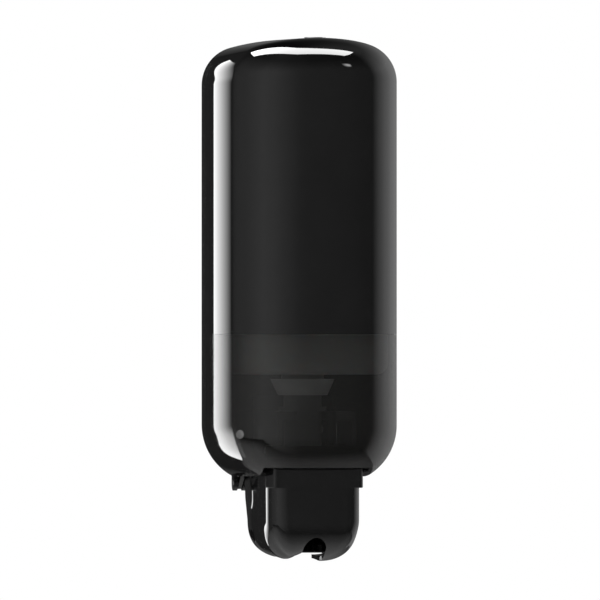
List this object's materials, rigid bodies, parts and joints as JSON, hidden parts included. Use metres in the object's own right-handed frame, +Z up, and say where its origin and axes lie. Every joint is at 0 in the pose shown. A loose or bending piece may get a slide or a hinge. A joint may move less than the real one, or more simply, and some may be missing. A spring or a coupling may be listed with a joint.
{
  "type": "wall mounted soap dispenser",
  "caption": "Upright wall mounted soap dispenser: rounded hinged cover with a smoked lower window, key lock, and a push lever hood that works a refill pump.",
  "frame": {"origin": "centre of the wall screw pattern, on the back plate's wall face", "axes": "+Z up, +Y into the wall, the front faces -Y, +X to the right seen from the front"},
  "size_m": [0.1032, 0.109, 0.2954],
  "materials": {
    "plate_black": "fine spark texture",
    "inner_grey": "moulded, semi matt",
    "gloss_black": "polished",
    "smoked_window": "polished, smoked and see-through",
    "bottle_white": "blow moulded, translucent",
    "pump_white": "moulded",
    "seal_rubber": "moulded",
    "piston_rubber": "moulded",
    "pin_steel": "ground",
    "spring_steel": "drawn wire",
    "screw_steel": "zinc plated",
    "bracket_steel": "pressed sheet",
    "ball_steel": "polished",
    "lock_chrome": "polished"
  },
  "bodies": {
    "chassis": {"back_plate": "plate_black", "pump_cradle": "inner_grey", "cradle_screws": "screw_steel", "lock_keeper": "bracket_steel", "keeper_screws": "screw_steel", "hinge_pin_left": "pin_steel", "hinge_pin_right": "pin_steel", "lever_pivot_pin": "pin_steel", "lever_return_spring": "spring_steel", "soap_bottle": "bottle_white", "bottle_collar": "pump_white", "bottle_seal": "seal_rubber", "pump_chamber": "pump_white", "pump_cap": "pump_white", "inlet_valve_ball": "ball_steel", "pump_spring": "spring_steel"},
    "cover": {"front_cover": "gloss_black", "cover_window": "smoked_window", "lock_housing": "lock_chrome", "lock_nut": "screw_steel"},
    "lock": {"lock_barrel": "lock_chrome", "lock_cam": "bracket_steel", "lock_cam_screw": "screw_steel"},
    "lever": {"push_lever": "gloss_black"},
    "plunger": {"pump_piston": "piston_rubber", "pump_nozzle": "pump_white", "outlet_valve": "seal_rubber"}
  },
  "joints": [
    {"name": "cover_hinge", "type": "hinge", "parent": "chassis", "child": "cover", "pos_m": [0, -0.012, -0.1272], "axis": [1, 0, 0], "range_deg": [0, 95]},
    {"name": "lock_turn", "type": "hinge", "parent": "cover", "child": "lock", "pos_m": [0, -0.076, 0.11], "axis": [0, 0, 1], "range_deg": [0, 90]},
    {"name": "lever_push", "type": "hinge", "parent": "chassis", "child": "lever", "pos_m": [0, -0.076, -0.113], "axis": [1, 0, 0], "range_deg": [0, 12], "stiffness_Nm_per_rad": 2, "springref_deg": -5.73},
    {"name": "pump_stroke", "type": "slide", "parent": "chassis", "child": "plunger", "axis": [0, 0, 1], "range_m": [0, 0.009], "deforming": ["pump_spring"]}
  ],
  "couplings": [
    {"joint": "pump_stroke", "follows": "lever_push", "m_per_rad": 0.0418}
  ]
}
